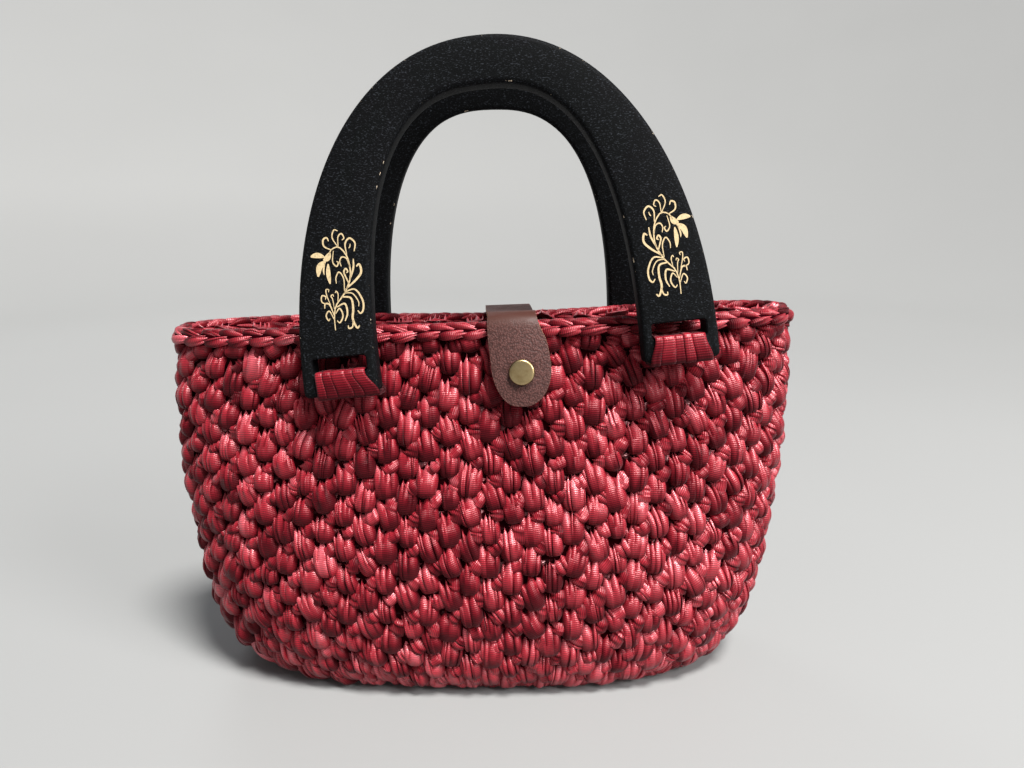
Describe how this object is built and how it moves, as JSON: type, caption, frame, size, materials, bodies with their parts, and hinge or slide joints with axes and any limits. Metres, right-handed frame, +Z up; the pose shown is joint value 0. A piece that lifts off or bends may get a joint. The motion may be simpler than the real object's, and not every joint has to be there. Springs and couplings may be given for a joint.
{
  "type": "crochet handbag",
  "caption": "Small hollow crochet handbag on an oval base, with a braided rim, arched wooden handles on ribbon loops and a leather snap tab over the mouth.",
  "frame": {"origin": "on the floor under the middle of the bag", "axes": "+X to the right along the mouth as seen from the front, +Y from the front to the back, +Z up"},
  "size_m": [0.254, 0.0918, 0.2522],
  "materials": {
    "ribbon_yarn": "satin grosgrain ribbon, burgundy red",
    "black_wood": "black paint on wood, satin, with gold scroll ornament",
    "brown_leather": "fine pebble grain, dark brown",
    "brass": "aged brass, satin"
  },
  "bodies": {
    "root": {"crochet_body": "ribbon_yarn", "rim_braid": "ribbon_yarn", "handle_front": "black_wood", "handle_back": "black_wood", "ribbon_loop_front_left": "ribbon_yarn", "ribbon_loop_front_right": "ribbon_yarn", "ribbon_loop_back_left": "ribbon_yarn", "ribbon_loop_back_right": "ribbon_yarn", "leather_tab": "brown_leather", "snap_cap": "brass", "snap_post": "brass"}
  },
  "joints": []
}
